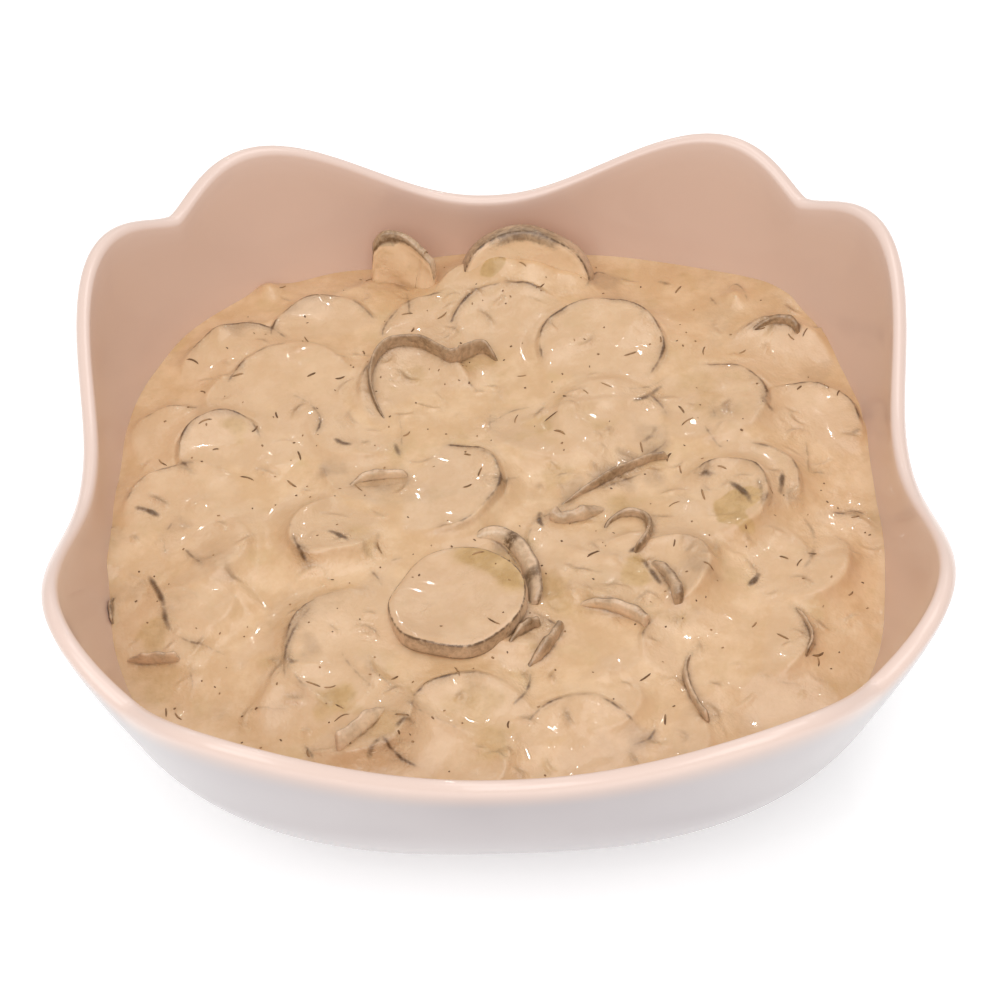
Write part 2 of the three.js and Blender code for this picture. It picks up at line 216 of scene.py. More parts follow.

# Places where the cream is thin or gone and olive flesh shows, some of them painted shade in hollows
# beside the big slice and in a dished slice: strength, radius, pixel.
BARE_PLACES = [
    (1.0, 3.2, 491, 267), (0.8, 6, 540, 431), (1.0, 7, 737, 505), (0.5, 9, 160, 690), (0.6, 6, 150, 635),
    (0.9, 6, 338, 698), (0.6, 10, 480, 700), (0.8, 6, 640, 572), (0.8, 5, 228, 424), (0.9, 4, 672, 585),
    (0.8, 6, 512, 556), (0.6, 7, 490, 740), (0.6, 5, 480, 362), (0.6, 9, 550, 595), (0.45, 12, 700, 395),
    (0.4, 7, 690, 290), (0.55, 7, 600, 425), (0.7, 4, 352, 530), (0.5, 7, 380, 725), (0.4, 8, 590, 600),
    (0.6, 5, 620, 505), (0.5, 5, 560, 480), (0.5, 6, 415, 375), (0.4, 9, 480, 560),
]

# Dabs of cream pushed up against the wall: radius, height and pixel.
WALL_DABS = [(5, 6.5, 268, 286), (5, 4, 735, 300), (8, 2, 330, 282), (5, 1.5, 862, 432),
             (5, 1.5, 118, 500), (9, 10, 495, 275), (9, 8.5, 538, 278), (6, 6, 576, 284),
             (8, 5.5, 458, 281)]

# How far the cream has sunk along the wall: bearing round the bowl in degrees, and drop.
WALL_SAG = [(-180, 0), (-60, 0), (-30, 3.4), (0, 4.2), (22, 2.6), (42, -2), (58, 1.6), (90, 3), (125, 4),
            (145, 1), (180, 0)]

# How finely things are made.
BOWL_STEPS = 400
CREAM_CELLS = 596
SLICE_STEPS = 96
FIELD_CELL, FIELD_HALF = 0.35, 114.0   # the square height field that the cream is worked out on

LIP_PAINTED_LIGHT_REACH = 4.5                         # how far down the lip its paler glaze runs: painted light, for the light that its upturned top catches
FILM = 0.45                            # thickness of the cream that clings to a slice
STEP_SHARE = 0.78                      # how much of a slice's height above the level shows
FILL_SIZES = (5, 3.5, 2.2, 1.3)        # how widely the cream fills the hollows beside a step
SKIRT_DEPTH = 8                        # how far the cream reaches down, below its edge
GHOSTS = 36                            # sunken slices that only swell the cream
RUFFLES = 130                          # short folds near the lines, and as many elsewhere
GHOST_REACH = 96                       # how far from the middle the sunken slices lie
SCATTER_REACH = 1 - 3 / 110            # how far scattered things lie, as a share of the way to the wall
WALL_GAP = 0.4                         # room left between the slices and the wall
LEVEL_LUMPS = ((0.5, 9), (0.42, 4), (0.2, 2))   # height and size of the lumps in the cream's level
BARE_TURN = radians(-105)              # where the big slice's face is bare, round its own axis: olive flesh that is partly painted shade


# ---- Formulas ----

def stacked(*parts):
    """The parts side by side along a new last axis, each stretched to the shape of them all."""
    return np.stack(np.broadcast_arrays(*parts), axis=-1)


def rotated(x, y, angle):
    """The place x, y turned round the origin by the angle."""
    return x * np.cos(angle) - y * np.sin(angle), x * np.sin(angle) + y * np.cos(angle)


def squareness(z):
    """Exponent of the rounded square, rising with height."""
    return FOOT_SQUARENESS + GAINED_SQUARENESS * (np.maximum(z, 0) / 70) ** 0.6


def rounded_square(angle, power):
    """Radius, by direction, of a rounded square of half width 1."""
    return (np.abs(np.cos(angle)) ** power + np.abs(np.sin(angle)) ** power) ** (-1 / power)


def belly(z, low_z, low_half, high_z, high_half):
    """Half width that grows from low to high along a flattened quarter ellipse."""
    share = np.clip((z - low_z) / (high_z - low_z), 0, 1)
    return low_half + (high_half - low_half) * (1 - (1 - share) ** 2) ** BELLY_POWER


def outer_half(z):
    return belly(z, FOOT_HEIGHT, FOOT_OUTER + 1, LIP_HEIGHT, LIP_HALF_WIDTH)


def inner_half(z):
    return belly(z, FLOOR_HEIGHT, FLOOR_HALF_WIDTH, LIP_HEIGHT, LIP_HALF_WIDTH - WALL)


def smooth_step(x, low, high):
    """0 below low, 1 above high, and a smooth S between."""
    t = np.clip((x - low) / (high - low), 0, 1)
    return t * t * (3 - 2 * t)


def rim_rise(angle):
    """A broad swell at each corner, less a narrow notch on its diagonal."""
    from_corner = np.abs(np.mod(angle, pi / 2) - pi / 4)
    swell = (0.5 + 0.5 * np.cos(4 * from_corner)) ** CORNER_RISE_POWER
    notch = np.exp(-((from_corner / NOTCH_HALF_ANGLE) ** NOTCH_POWER))
    return CORNER_RISE * swell - NOTCH_DEPTH * notch


def rim_lift(z, angle):
    """How far the wavy rim lifts the wall there."""
    return rim_rise(angle) * smooth_step(z, WAVE_FROM, LIP_HEIGHT)


def bowl_radius(half, z, angle):
    """Distance from the bowl's axis, by height and direction, flared where the rim lifts."""
    return half * rounded_square(angle, squareness(z)) + LOBE_FLARE * rim_lift(z, angle)


def wall_share(x, y, z):
    """Distance from the middle as a share of the distance to the bowl's inside."""
    return np.hypot(x, y) / bowl_radius(inner_half(z), z, np.arctan2(y, x))


def cream_level(x, y):
    """A low crown that dies out at the wall, with slow ripples, sunk here and there along the wall."""
    share = wall_share(x, y, CREAM_EDGE)
    inside = np.maximum(0, 1 - share ** 2)
    ripple = np.sin(x / 9 + 0.8) * np.cos(y / 8) + 0.6 * np.sin(y / 5.5 - x / 13)
    drop = np.interp(np.degrees(np.arctan2(y, x)), *np.array(WALL_SAG).T)
    sag = drop * np.exp(-7 * np.clip(1 - share, 0, 1))
    return CREAM_EDGE + CREAM_CROWN * inside + RIPPLE_HEIGHT * ripple * np.minimum(1, 4 * inside) - sag


# ---- Making pieces ----

def placed(name, data):
    """A new object in the scene, with this data."""
    made = bpy.data.objects.new(name, data)
    bpy.context.collection.objects.link(made)
    return made


def new_piece(name, points, faces, material):
    """A mesh object at the origin, from millimetre points and a list of arrays of faces."""
    mesh = bpy.data.meshes.new(name)
    mesh.from_pydata((points.reshape(-1, 3) * MM).tolist(), [], sum((f.tolist() for f in faces), []))
    mesh.polygons.foreach_set("use_smooth", np.full(len(mesh.polygons), True))
    mesh.materials.append(material)
    mesh.update()
    piece = placed(name, mesh)
    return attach(piece, "root")


def paint(piece, name, values):
    """A number for each vertex, which the material reads by name."""
    attribute = piece.data.attributes.new(name, "FLOAT", "POINT")
    attribute.data.foreach_set("value", np.asarray(values, dtype=np.float32).ravel())


def turned_faces(rows, steps, first):
    """Faces of a surface turned from pole to pole: one point, rows - 2 rings of steps, one point."""
    i = np.arange(steps)
    j = (i + 1) % steps
    rings = (first + 1 + np.arange(rows - 2) * steps)[:, None]
    start = stacked(first, rings[0] + j, rings[0] + i)
    end = stacked(rings[-1] + steps, rings[-1] + i, rings[-1] + j)
    low = rings[:-1]
    return [start, end, stacked(low + i, low + j, low + steps + j, low + steps + i).reshape(-1, 4)]


def turned_piece(name, grids, layers, material):
    """One mesh of surfaces turned from pole to pole. Each grid (rows, steps) has end rows that are each
    one point, and holds x, y, z and a value of every painted layer."""
    points, faces = [], []
    for grid in grids:
        faces += turned_faces(*grid.shape[:2], first=sum(map(len, points)))
        points.append(np.concatenate([grid[0, :1], grid[1:-1].reshape(-1, grid.shape[-1]), grid[-1, :1]]))
    points = np.concatenate(points)
    piece = new_piece(name, points[:, :3], faces, material)
    for layer, values in zip(layers, points[:, 3:].T):
        paint(piece, layer, values)
    return piece


# ---- Shader tools ----

class Value:
    """A number in a shader. Arithmetic on it adds Math nodes to its finish."""

    def __init__(self, finish, socket):
        self.finish, self.socket = finish, socket

    def math(self, operation, *others):
        inputs = dict(enumerate((self, *others)))
        return self.finish.value("ShaderNodeMath", {"operation": operation}, inputs)

    def __add__(self, other): return self.math("ADD", other)
    def __radd__(self, other): return self.math("ADD", other)
    def __sub__(self, other): return self.math("SUBTRACT", other)
    def __rsub__(self, other): return (self * -1).math("ADD", other)
    def __mul__(self, other): return self.math("MULTIPLY", other)
    def __rmul__(self, other): return self.math("MULTIPLY", other)

    def ramp(self, low, high):
        """0 where this is below low, 1 above high, smooth between."""
        settings = {"interpolation_type": "SMOOTHSTEP"}
        return self.finish.value("ShaderNodeMapRange", settings, {0: self, 1: low, 2: high})


class Finish:
    """A material with one Principled shader, and the nodes that feed it."""

    def __init__(self, name, **constants):
        self.material = bpy.data.materials.new(name)
        self.material.use_nodes = True
        self.tree = self.material.node_tree
        self.shader = self.tree.nodes["Principled BSDF"]
        for socket, constant in constants.items():
            self.shader.inputs[socket.replace("_", " ")].default_value = constant
        self.place = self.node("ShaderNodeTexCoord").outputs["Object"]

    def node(self, kind, settings=None, inputs=None):
        made = self.tree.nodes.new(kind)
        for name, setting in (settings or {}).items():
            setattr(made, name, setting)
        for key, given in (inputs or {}).items():
            if isinstance(given, Value):
                given = given.socket
            if isinstance(given, bpy.types.NodeSocket):
                self.tree.links.new(given, made.inputs[key])
            else:
                made.inputs[key].default_value = given
        return made

    def value(self, kind, settings=None, inputs=None, output=0):
        return Value(self, self.node(kind, settings, inputs).outputs[output])

    def noise(self, size_mm, detail=2.0, roughness=0.5, distortion=0.0):
        """Noise from 0 to 1 with features of about size_mm."""
        inputs = {"Vector": self.place, "Scale": 1 / (size_mm * MM), "Detail": detail,
                  "Roughness": roughness, "Distortion": distortion}
        return self.value("ShaderNodeTexNoise", None, inputs)

    def painted(self, name):
        return self.value("ShaderNodeAttribute", {"attribute_name": name}, output=2)

    def blend(self, body, *layers):
        """The body's colour with each layer's blended over it in turn, from colour and share."""
        for tint, share in layers:
            inputs = {0: share, 6: body, 7: tint}
            body = self.node("ShaderNodeMix", {"data_type": "RGBA"}, inputs).outputs[2]
        return body

    def bump(self, height, depth_mm, below=None):
        """Normal that follows a height from 0 to 1, depth_mm deep, over the relief below."""
        inputs = {"Strength": 1.0, "Distance": depth_mm * MM, "Height": height}
        if below:
            inputs["Normal"] = below
        return self.node("ShaderNodeBump", None, inputs).outputs[0]

    def feed(self, **sockets):
        for name, given in sockets.items():
            socket = given.socket if isinstance(given, Value) else given
            self.tree.links.new(socket, self.shader.inputs[name.replace("_", " ")])
        return self.material


def colour(red, green, blue):
    """Linear colour from the 0 to 255 values that a picture shows."""
    share = np.array([red, green, blue]) / 255
    linear = np.where(share <= 0.04045, share / 12.92, ((share + 0.055) / 1.055) ** 2.4)
    return (*linear, 1.0)


# ---- Finishes ----

CREAM_GLOSS = {"Roughness": 0.32, "Coat_Weight": 0.35, "Coat_Roughness": 0.05,
               "Subsurface_Weight": 0.12, "Subsurface_Scale": 0.002, "Subsurface_Radius": (1.0, 0.65, 0.45)}


def cream_colour(finish):
    """Warm cream in slow patches, paler or with the olive of the slices below, with faint mottling."""
    warm, pale_tone_and_painted_light, olive, tan = (colour(210, 170, 126), colour(222, 185, 144), colour(200, 166, 116),
                              colour(196, 155, 112))
    return finish.blend(
        warm,
        (pale_tone_and_painted_light, finish.noise(11, 4, 0.6).ramp(0.38, 0.66)),
        (olive, finish.noise(13, 3, 0.6).ramp(0.54, 0.74) * 0.5),
        (tan, finish.noise(4, 4, 0.6).ramp(0.45, 0.8) * 0.3))


def cream_normal(finish, lively):
    """Low lumps, and where the cream is lively also short wrinkles that break up the shine."""
    lumps = finish.bump(finish.noise(9, 1) + finish.noise(1.7, 1) * 0.3, 0.5)
    wrinkles = finish.noise(1.3, 1, distortion=1.2) * lively
    return finish.bump(wrinkles, 1.2, lumps)


def glaze_finish():
    """Dusty pink glaze inside and over the lip, paling to lavender white down the outside, with the lip's
    top painted paler as painted light.
    """
    finish = Finish("bowl_glaze", Roughness=0.3, Coat_Weight=0.5, Coat_Roughness=0.04)
    tone = finish.noise(60, 2).ramp(0.3, 0.7)
    pale_tone_and_painted_light = finish.blend(colour(180, 171, 171), (colour(172, 163, 164), tone))
    body = finish.blend(
        colour(217, 184, 164), (colour(212, 179, 160), tone),
        # Painted light: the top of the lip is painted paler, for the light it catches.
        (colour(232, 206, 193), finish.painted("lip")),
        (pale_tone_and_painted_light, finish.painted("outside").ramp(0.0, 0.3)))
    wear = finish.noise(9, 5, 0.6) * 0.6 + 0.2
    return finish.feed(Base_Color=body, Normal=finish.bump(wear, 0.05))


def peel_colour(finish, dark):
    """Grey-brown peel in uneven streaks, paler where the cream lies thicker on it."""
    streak = finish.noise(2.4, 3, 0.6, distortion=0.8).ramp(0.35, 0.7)
    thick = finish.blend(colour(224, 190, 156), (colour(204, 170, 136), streak))
    thin = finish.blend(colour(178, 146, 112), (colour(132, 102, 72), streak))
    return finish.blend(thick, (thin, dark))


def flesh_colour(finish):
    """Olive flesh with a fine grain, wet and a little see-through."""
    return finish.blend(
        colour(206, 168, 116), (colour(186, 147, 92), finish.noise(7, 2).ramp(0.3, 0.7)),
        (colour(164, 124, 72), finish.noise(1.4, 3, 0.6).ramp(0.42, 0.8) * 0.4))


def cream_finish():
    """Cream that is thin in places, where paler slice faces, olive flesh and dark peel show through, and
    where painted shade darkens hollows behind folds, halos beside the lines and some olive spots.
    """
    finish = Finish("dill_cream", **CREAM_GLOSS)
    face, bare_flesh_and_painted_shade, peel_grey_and_painted_shade, line, lively = map(finish.painted, ("face", "bare_flesh_and_painted_shade", "peel_grey_and_painted_shade", "line", "lively"))
    ragged = finish.noise(2.2, 3, 0.6)
    body = finish.blend(
        cream_colour(finish), (colour(210, 174, 138), face * 0.4),
        # Olive flesh, where some spots are painted shade in hollows.
        (flesh_colour(finish), (bare_flesh_and_painted_shade + ragged * 0.5 - 0.25).ramp(0.0, 1.0)),
        # Grey of peel under the cream, with painted shade in the hollows behind folds and beside the lines.
        (colour(168, 134, 100), (peel_grey_and_painted_shade + ragged * 0.4 - 0.2).ramp(0.0, 0.8) * 0.75),
        (colour(92, 60, 24), (line + ragged * 0.3 - 0.15).ramp(0.12, 0.75) * 0.92))
    return finish.feed(Base_Color=body, Normal=cream_normal(finish, lively))


def cucumber_finish():
    """Peel in greyish-brown bands with dark edges, and the cream that films the rest. Upright faces and the
    sides of the strips are painted paler as painted light, and the olive inside the big slice's rim is
    partly painted shade.
    """
    finish = Finish("cucumber", **CREAM_GLOSS)
    skin, line, dark, bare_flesh_and_painted_shade, pale_tone_and_painted_light = map(finish.painted, CUCUMBER_LAYERS)
    ragged = finish.noise(1.6, 3, 0.6)
    peel = finish.blend(
        # Painted light: the sides of the peel strips are painted paler, for the light they miss.
        peel_colour(finish, dark), (colour(255, 228, 190), pale_tone_and_painted_light * 0.35),
        (colour(98, 68, 34), line * ragged.ramp(0.2, 0.6)))
    body = finish.blend(
        # Painted light: upright faces are painted paler, for the light that level faces get.
        cream_colour(finish), (colour(206, 170, 138), 0.35), (colour(246, 212, 172), pale_tone_and_painted_light * 0.55),
        # Olive flesh, partly painted shade inside the big slice's raised rim.
        (flesh_colour(finish), (bare_flesh_and_painted_shade + ragged * 0.4 - 0.2).ramp(0.1, 0.9)),
        (peel, (skin + ragged * 1.2 - 0.75).ramp(0.1, 0.7)))
    lively = finish.noise(9, 1).ramp(0.45, 0.8) * 0.35
    return finish.feed(Base_Color=body, Normal=cream_normal(finish, lively))


def dill_finish():
    finish = Finish("dill", Roughness=0.5)
    tone = finish.noise(4, 2).ramp(0.35, 0.65)
    return finish.feed(Base_Color=finish.blend(colour(104, 72, 40), (colour(166, 126, 84), tone)))


def floor_finish():
    finish = Finish("floor", Roughness=0.9, Emission_Color=(1, 1, 1, 1), Emission_Strength=0.3)
    tone = finish.noise(300, 1)
    return finish.feed(Base_Color=finish.blend(colour(250, 250, 250), (colour(246, 246, 246), tone)))


# ---- The bowl ----

def bowl_section():
    """Half widths and heights from the underside's middle, out, over the lip and in to the floor's."""
    rise = np.linspace(0, 1, 46)[1:] ** 1.5
    outer_z = FOOT_HEIGHT + (LIP_HEIGHT - FOOT_HEIGHT) * rise
    inner_z = (FLOOR_HEIGHT + (LIP_HEIGHT - FLOOR_HEIGHT) * rise)[::-1]
    turn = np.linspace(0, pi, 15)[1:-1]
    lip_middle = LIP_HALF_WIDTH - WALL / 2
    foot = [(0, FOOT_HEIGHT), (30, FOOT_HEIGHT), (FOOT_INNER - 2.6, FOOT_HEIGHT),
            (FOOT_INNER - 1.6, FOOT_HEIGHT - 0.3), (FOOT_INNER - 0.4, 0.5), (FOOT_INNER + 0.4, 0),
            (FOOT_OUTER - 0.5, 0), (FOOT_OUTER + 0.3, 0.5), (FOOT_OUTER + 0.9, FOOT_HEIGHT - 0.3)]
    floor = [(FLOOR_HALF_WIDTH - FLOOR_ROUNDING, FLOOR_HEIGHT), (30, FLOOR_HEIGHT), (0, FLOOR_HEIGHT)]
    return np.concatenate([
        foot,
        stacked(outer_half(outer_z), outer_z),
        stacked(lip_middle + WALL / 2 * np.cos(turn), LIP_HEIGHT + WALL / 2 * np.sin(turn)),
        stacked(inner_half(inner_z), inner_z),
        floor,
    ])


def bowl_piece(material):
    """The section turned round the rounded square, with steps gathered at the corners."""
    half, z = bowl_section().T[..., None]
    turn = np.arange(BOWL_STEPS) / BOWL_STEPS * 2 * pi
    angle = turn + 0.16 * np.sin(4 * turn)
    radius = bowl_radius(half, z, angle)
    below_lip = LIP_HEIGHT + WALL / 2 - z
    outside = np.clip((np.arange(len(z))[:, None] < np.argmax(z)) * below_lip / 30, 0, 1)
    # Painted light: how much paler the glaze is painted near the top of the lip.
    lip = np.exp(-((below_lip / LIP_PAINTED_LIGHT_REACH) ** 2))
    grid = stacked(radius * np.cos(angle), radius * np.sin(angle), z + rim_lift(z, angle), outside, lip)
    piece = turned_piece("ceramic_bowl", [grid], ("outside", "lip"), material)
    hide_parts("bowl")


# ---- Height fields ----

field_axis = np.arange(-FIELD_HALF, FIELD_HALF, FIELD_CELL)
field_x, field_y = np.meshgrid(field_axis, field_axis)


def blurred(field, size):
    """The field smoothed by a Gaussian of that size in millimetres."""
    wave = np.fft.fftfreq(len(field_axis), FIELD_CELL) * 2 * pi
    gain = np.exp(-0.5 * size ** 2 * (wave[:, None] ** 2 + wave[None, :] ** 2))
    return np.fft.ifft2(np.fft.fft2(field) * gain).real


def lumps(size):
    """Seeded noise, of spread 1, with lumps of about that size."""
    rough = blurred(draw.standard_normal(field_x.shape), size)
    return rough / rough.std()


def field_cells(x, y):
    """Row and column of the field's cell at each place."""
    return tuple(np.clip(np.rint((place + FIELD_HALF) / FIELD_CELL).astype(int), 0, len(field_axis) - 1)
                 .ravel() for place in (y, x))


def dropped_on(x, y, z):
    """The highest point over each cell of the field, and a low value where there is none."""
    top = np.zeros(field_x.shape)
    np.maximum.at(top, field_cells(x, y), z.ravel())
    return top


def drawn(strokes, size):
    """Lines on the field: a soft line of about 2.4 times that size along each stroke's dense points."""
    ink = np.zeros(field_x.shape)
    for x, y, strength in strokes:
        np.maximum.at(ink, field_cells(x, y), strength)
    return np.clip(blurred(ink, size) * (2 * pi) ** 0.5 * size / FIELD_CELL * 0.8, 0, 1)


def read_field(field, x, y):
    """The field at any places, by bilinear interpolation."""
    u, v = (np.clip((place + FIELD_HALF) / FIELD_CELL, 0, len(field_axis) - 1.001) for place in (x, y))
    i, j = u.astype(int), v.astype(int)
    s, t = u - i, v - j
    low = field[j, i] * (1 - s) + field[j, i + 1] * s
    high = field[j + 1, i] * (1 - s) + field[j + 1, i + 1] * s
    return low * (1 - t) + high * t


def crests(field, cells):
    """The field's highest value within that many cells of each place."""
    highest = field
    near = range(-cells, cells + 1)
    for shift in ((i, j) for i in near for j in near if i * i + j * j <= cells * cells):
        highest = np.maximum(highest, np.roll(field, shift, axis=(0, 1)))
    return highest


def seen_at(pixels, z):
    """Plan place of what the photograph shows at a pixel, when it is at height z."""
    across, down = np.reshape(pixels, (-1, 2)).T
    across, up = rotated(across - MIDDLE_PIXEL[0], MIDDLE_PIXEL[1] - down, -ROLL)
    above = z - AIM_HEIGHT
    near = up * (CAMERA_DISTANCE - above * sin(ELEVATION)) - FOCAL_PIXELS * above * cos(ELEVATION)
    y = near / (FOCAL_PIXELS * sin(ELEVATION) - up * cos(ELEVATION))
    depth = CAMERA_DISTANCE + y * cos(ELEVATION) - above * sin(ELEVATION)
    return across * depth / FOCAL_PIXELS, y


def on_salad(pixels, surface, raised=0.0):
    """Plan place where the line of sight through a pixel meets the surface, raised by so much."""
    z = CREAM_MIDDLE
    for _ in range(12):
        x, y = seen_at(pixels, z)
        z = 0.5 * z + 0.5 * (read_field(surface, x, y) + raised)
    return seen_at(pixels, z)


def curve_through(points, count):
    """A Catmull-Rom curve through the points, pair after pair of numbers: count places along it."""
    p = np.reshape(points, (-1, 2))
    along = np.linspace(0, len(p) - 1 - 1e-6, count)
    p = np.vstack([2 * p[0] - p[1], p, 2 * p[-1] - p[-2]])
    i = along.astype(int)
    t = (along - i)[:, None]
    a, b, c, d = p[i], p[i + 1], p[i + 2], p[i + 3]
    return 0.5 * (2 * b + (c - a) * t + (2 * a - 5 * b + 4 * c - d) * t ** 2
                  + (3 * b - a - 3 * c + d) * t ** 3)


def fading(count, seed):
    """Strength along a stroke: it fades at both ends and comes and goes between."""
    t = np.linspace(0, 1, count)
    wander = 0.8 + 0.2 * np.sin(11 * t + seed) + 0.15 * np.sin(23 * t + 2.1 * seed)
    return np.clip(np.sin(pi * t) ** 0.45 * wander, 0, 1)


def spots(places, surface):
    """Soft round spots on the field, from strength, radius and pixel, each with a ragged edge.

    The spots of strength 1 are crisper."""
    ragged = 0.3 * lumps(2.6) + 0.1 * lumps(1.2)
    field = np.zeros(field_x.shape)
    for strength, radius, *pixel in places:
        x, y = on_salad(pixel, surface)
        reach = np.hypot(field_x - x, field_y - y) / radius + ragged
        crisp = strength == 1
        spot = 1 - smooth_step(reach, 0.2 + 0.5 * crisp, 1.3 - 0.3 * crisp)
        field = np.maximum(field, strength * spot)
    return field


def ruffles(anchors):
    """Short curved strokes, as x, y and strength: half anywhere, half near the anchors' places."""
    near = anchors[draw.integers(0, len(anchors), RUFFLES)] + draw.normal(0, 5, (RUFFLES, 2))
    t = np.linspace(-1, 1, 120)
    strokes = []
    for x, y in np.concatenate([near, scattered(RUFFLES)]):
        heading, half_long = draw.uniform(0, pi), draw.uniform(1.2, 4.5)
        bend = draw.uniform(-0.7, 0.7) * half_long * t ** 2
        along, sideways = rotated(half_long * t, bend, heading)
        strokes.append((x + along, y + sideways, draw.uniform(0.3, 1) * (1 - t ** 2)))
    return strokes


# ---- The slices ----

# The fifth layer is painted light, paler colour on faces that stand upright; the fourth, olive flesh, is
# partly painted shade.
CUCUMBER_LAYERS = ("skin", "line", "dark", "bare_flesh_and_painted_shade", "pale_tone_and_painted_light")


def kept_inside(x, y, z):
    """Points that would reach the wall are drawn in to it."""
    radius = np.hypot(x, y)
    room = radius / np.maximum(wall_share(x, y, z), 1e-6) - WALL_GAP
    scale = np.minimum(1, room / np.maximum(radius, 1e-6))
    return x * scale, y * scale, z


def outline(disc, angle):
    """Radius by direction: nearly round, a little oval and uneven."""
    phase = disc.x * 0.7 + disc.y * 0.3
    uneven = 0.03 * np.sin(2 * angle + phase) + 0.02 * np.sin(3 * angle + 2.3 * phase)
    uneven = uneven * (30 / disc.wide) ** 3 + 0.01 * np.sin(7 * angle + phase)
    return disc.wide / 2 * (1 + uneven)


def on_slice(disc, angle, share, out):
    """World points of a slice: a polar disc, ruffled at its edge, rolled round one axis, then tipped.

    angle and share place a point in the disc, share being 1 at the outline, and out is its height
    above the middle plane."""
    radius = share * outline(disc, angle)
    x, y = radius * np.cos(angle), radius * np.sin(angle)
    phase = disc.x + disc.y
    wave = 0.5 * np.sin(3 * angle + phase) + 0.35 * np.sin(5 * angle + 1.7 * phase)
    out = out + wave * np.minimum(share, 1) ** 2
    if disc.curl:
        roll = radians(disc.curl) / (disc.wide / 2)
        arm = 1 / roll - out
        y, out = arm * np.sin(y * roll), 1 / roll - arm * np.cos(y * roll)
    x, z = rotated(x, out, -radians(disc.lean))
    x, y = rotated(x, y, radians(disc.toward))
    return kept_inside(disc.x + x, disc.y + y, z + cream_level(disc.x, disc.y) + disc.lift)


def slice_section(disc):
    """Rows from the bottom's middle, over the rim and to the top's: share, height, skin and line."""
    half, radius = disc.thick / 2, disc.wide / 2
    inset = lambda distance: 1 - distance / radius
    bottom = [(share, -half, 0, 0) for share in (0, 0.3, 0.6, inset(1.2))]
    rim = [
        (inset(0.5), -half, 0.8, 1), (inset(0.15), 0.1 - half, 1, 1), (1, 0.35 - half, 1, 0.8),
        (1.004, 0.7 - half, 1, 0.2), (1.01, -half * 0.3, 1, 0), (1.01, half * 0.3, 1, 0),
        (1.004, half - 0.7, 1, 0.2), (1, half - 0.35, 1, 0.8), (inset(0.15), half - 0.1, 1, 1),
        (inset(0.4), half + 0.05, 0.6, 0.8), (inset(0.7), half + FILM * 0.35, 0.1, 0.2),
        (inset(1.1), half + FILM * 0.65, 0, 0), (inset(1.7), half + FILM * 0.9, 0, 0),
    ]
    top = [(share, half + FILM, 0, 0) for share in (inset(2.4), 0.8, 0.72, 0.62, 0.5, 0.38, 0.25, 0.12, 0)]
    return np.array(bottom + rim + top)


def ghost_slices():
    """Seeded slices that lie low between the others, each with a short faint arc of rim."""
    made = []
    for _ in range(GHOSTS):
        bearing, reach = draw.uniform(0, 2 * pi), GHOST_REACH * draw.uniform(0.05, 1) ** 0.5
        arc = draw.uniform(-60, 200)
        made.append(Slice(
            reach * cos(bearing) * 1.04, reach * sin(bearing) * 1.04, draw.uniform(22, 34),
            draw.uniform(6, 26), draw.uniform(0, 360), draw.uniform(-2.5, -1.0), arc,
            arc + draw.uniform(40, 110), draw.uniform(0.2, 0.65)))
    return made


def slice_tops(slices):
    """Height field of the slices' upper faces, from dense samples of each."""
    angle, share = np.meshgrid(np.linspace(0, 2 * pi, 430), np.linspace(0, 1, 72))
    top = np.zeros(field_x.shape)
    for disc in slices:
        top = np.maximum(top, dropped_on(*on_slice(disc, angle, share, disc.thick / 2)))
    return top


def rim_strokes(slices, surface):
    """The arc of each slice's rim that shows, weaker where the surface is well above it."""
    strokes = []
    angle = np.linspace(0, 2 * pi, 1000)
    for disc in slices:
        if not disc.dark:
            continue
        front = np.clip(-np.sin(angle + radians(disc.toward)), 0, 1)
        inset = 1 - (1.3 + 1.0 * front) / disc.wide
        x, y, z = on_slice(disc, angle, inset, disc.thick / 2)
        bearing = np.degrees(np.arctan2(y - disc.y, x - disc.x))
        middle = (disc.rim_from + disc.rim_to) / 2
        half_arc = (disc.rim_to - disc.rim_from) / 2
        off = np.abs(np.mod(bearing - middle + 180, 360) - 180)
        shows = 1 - smooth_step(off, half_arc - 14, half_arc + 6)
        shows = shows * (1 - 0.5 * np.clip(-np.sin(np.radians(bearing)), 0, 1))
        buried = np.maximum(read_field(surface, x, y) - z - 0.7, 0)
        seed = disc.x
        wander = 0.75 + 0.25 * np.sin(5 * angle + seed) + 0.2 * np.sin(13 * angle + 2 * seed)
        strokes.append((x, y, disc.dark * shows * wander * np.exp(-buried / 0.6)))
    return strokes


def cucumber_piece(name, grids, material):
    piece = turned_piece(name, grids, CUCUMBER_LAYERS, material)
    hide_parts("cucumber_slices")


